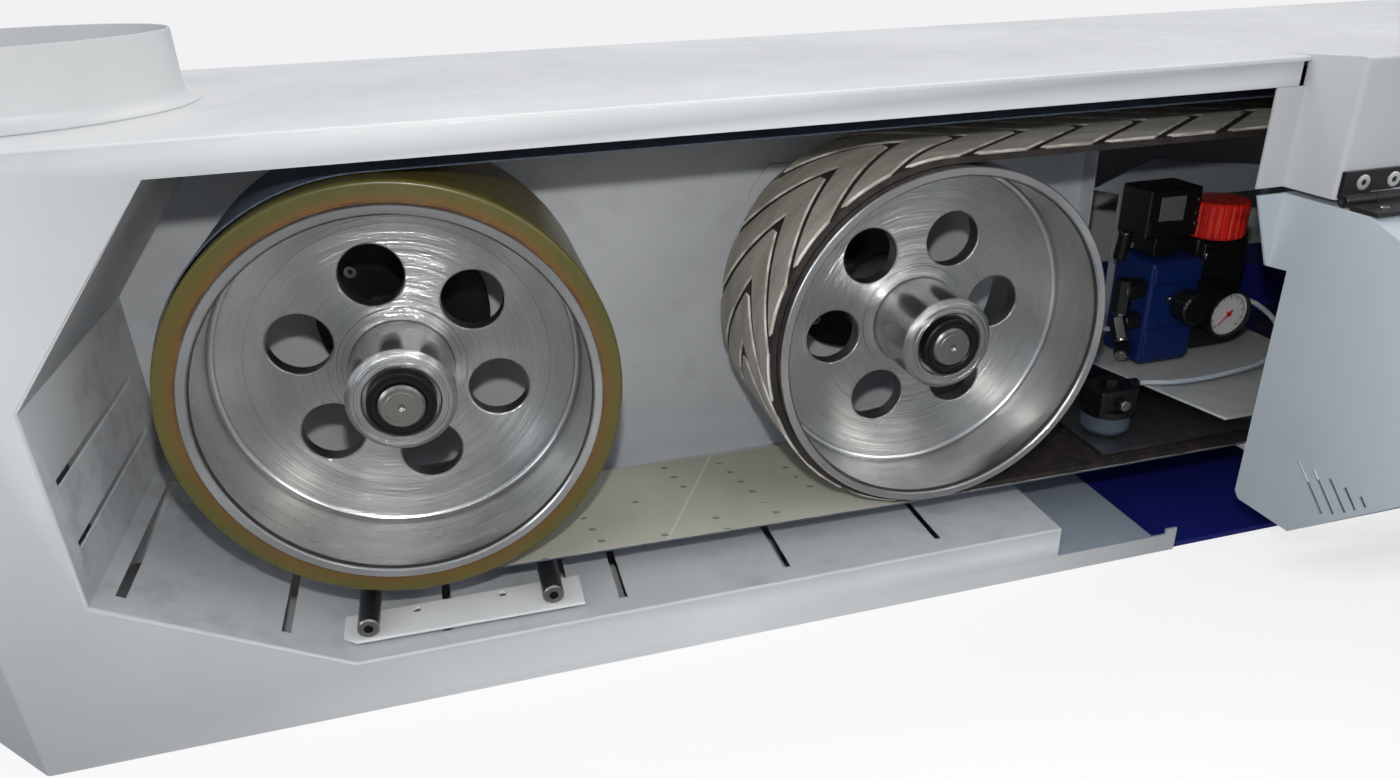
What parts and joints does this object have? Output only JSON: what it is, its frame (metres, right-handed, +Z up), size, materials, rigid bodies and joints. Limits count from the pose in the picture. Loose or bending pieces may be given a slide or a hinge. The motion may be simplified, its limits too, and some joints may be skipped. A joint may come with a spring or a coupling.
{
  "type": "cross belt sanding head",
  "caption": "Long sheet-metal sanding head: an abrasive belt and a lamella pressure belt run crosswise over wide drums behind a hinged front door, with dust ports at both ends.",
  "frame": {"origin": "middle of the bounding box on the plane the head stands on", "axes": "+X along the head towards the drive end, +Y away from the operator, +Z up"},
  "size_m": [3.322, 0.694, 0.559],
  "materials": {
    "light_grey_paint": "semi-gloss powder coat",
    "blue_grey_paint": "satin powder coat",
    "frame_blue_paint": "satin paint",
    "regulator_blue": "gloss",
    "turned_aluminium": "fine turned",
    "bright_steel": "ground",
    "dark_steel": "satin",
    "black_plastic": "satin",
    "red_plastic": "gloss",
    "amber_polyurethane": "ground, semi-gloss",
    "lamella_felt": "woven backing with felt strips",
    "abrasive_cloth": "cloth back, grit outside",
    "graphite_cloth": "graphite-coated",
    "clear_bowl": "clear plastic",
    "air_tube": "translucent"
  },
  "bodies": {
    "machine_head": {"abrasive_belt": "abrasive_cloth", "base_frame": "frame_blue_paint", "carrier_beam": "frame_blue_paint", "centre_hood": "light_grey_paint", "filter_bowl": "clear_bowl", "filter_head": "black_plastic", "gauge_case": "black_plastic", "lamella_belt": "lamella_felt", "left_back_wall": "blue_grey_paint", "left_belt_rest_rod_1": "bright_steel", "left_belt_rest_rod_2": "bright_steel", "left_dust_port": "light_grey_paint", "left_hinge_fixed_leaf": "dark_steel", "left_hinge_pin": "bright_steel", "left_housing": "light_grey_paint", "left_inner_cylinder": "turned_aluminium", "left_outer_cylinder": "turned_aluminium", "left_rod_plate": "light_grey_paint", "left_tension_rails": "bright_steel", "lockout_valve": "black_plastic", "pressure_beam": "turned_aluminium", "rear_cover": "light_grey_paint", "regulator_body": "regulator_blue", "right_back_wall": "blue_grey_paint", "right_dust_port": "light_grey_paint", "right_hinge_fixed_leaf": "dark_steel", "right_hinge_pin": "bright_steel", "right_housing": "light_grey_paint", "right_inner_motor": "dark_steel", "right_outer_motor": "dark_steel", "supply_tube": "air_tube", "tension_tube": "air_tube", "valve_bracket": "blue_grey_paint", "valve_shelf": "light_grey_paint"},
    "left_outer_carriage_body": {"left_outer_carriage": "dark_steel", "left_outer_axle": "bright_steel", "left_outer_lock_ring": "black_plastic"},
    "left_outer_drum_body": {"left_outer_drum": "turned_aluminium", "left_outer_drum_tyre": "amber_polyurethane", "left_outer_bearing": "bright_steel"},
    "left_inner_carriage_body": {"left_inner_carriage": "dark_steel", "left_inner_axle": "bright_steel", "left_inner_lock_ring": "black_plastic"},
    "left_inner_drum_body": {"left_inner_drum": "turned_aluminium", "left_inner_bearing": "bright_steel"},
    "right_outer_drum_body": {"right_outer_drum": "turned_aluminium", "right_outer_drum_tyre": "amber_polyurethane", "right_outer_axle": "bright_steel", "right_outer_lock_ring": "black_plastic"},
    "right_inner_drum_body": {"right_inner_drum": "turned_aluminium", "right_inner_axle": "bright_steel", "right_inner_lock_ring": "black_plastic"},
    "door_body": {"front_door": "light_grey_paint", "door_handle": "black_plastic", "left_hinge_door_leaf": "dark_steel", "right_hinge_door_leaf": "dark_steel"},
    "pressure_pad_body": {"pressure_pad": "graphite_cloth"},
    "regulator_knob_body": {"regulator_knob": "black_plastic"},
    "lockout_knob_body": {"lockout_knob": "red_plastic"},
    "gauge_needle_body": {"gauge_needle": "red_plastic"}
  },
  "joints": [
    {"name": "left_outer_tension_slide", "type": "slide", "parent": "machine_head", "child": "left_outer_carriage_body", "axis": [1, 0, 0], "range_m": [0, 0.02]},
    {"name": "left_outer_drum_spin", "type": "hinge", "parent": "left_outer_carriage_body", "child": "left_outer_drum_body", "pos_m": [-1.256, 0, 0.2807], "axis": [0, 1, 0], "continuous": true},
    {"name": "left_inner_tension_slide", "type": "slide", "parent": "machine_head", "child": "left_inner_carriage_body", "axis": [1, 0, 0], "range_m": [0, 0.015]},
    {"name": "left_inner_drum_spin", "type": "hinge", "parent": "left_inner_carriage_body", "child": "left_inner_drum_body", "pos_m": [-0.7694, 0, 0.2633], "axis": [0, 1, 0], "continuous": true},
    {"name": "right_outer_drum_spin", "type": "hinge", "parent": "machine_head", "child": "right_outer_drum_body", "pos_m": [1.256, 0, 0.2807], "axis": [0, 1, 0], "continuous": true},
    {"name": "right_inner_drum_spin", "type": "hinge", "parent": "machine_head", "child": "right_inner_drum_body", "pos_m": [0.7694, 0, 0.2633], "axis": [0, 1, 0], "continuous": true},
    {"name": "door_hinge", "type": "hinge", "parent": "machine_head", "child": "door_body", "pos_m": [0, -0.1745, 0.3898], "axis": [-1, 0, 0], "range_deg": [0, 85]},
    {"name": "pressure_pad_lift", "type": "slide", "parent": "machine_head", "child": "pressure_pad_body", "axis": [0, 0, 1], "range_m": [0, 0.006]},
    {"name": "regulator_knob_turn", "type": "hinge", "parent": "machine_head", "child": "regulator_knob_body", "pos_m": [-0.4225, 0.0115, 0.225], "axis": [0, 1, 0], "range_deg": [-360, 360]},
    {"name": "lockout_knob_turn", "type": "hinge", "parent": "machine_head", "child": "lockout_knob_body", "pos_m": [-0.375, 0.049, 0.313], "axis": [0, 0, 1], "range_deg": [0, 90]},
    {"name": "gauge_needle_turn", "type": "hinge", "parent": "machine_head", "child": "gauge_needle_body", "pos_m": [-0.363, 0.0165, 0.207], "axis": [0, 1, 0], "range_deg": [0, 270]}
  ],
  "couplings": [
    {"joint": "left_outer_drum_spin", "follows": "right_outer_drum_spin", "ratio": 1},
    {"joint": "left_inner_drum_spin", "follows": "right_inner_drum_spin", "ratio": 1}
  ]
}
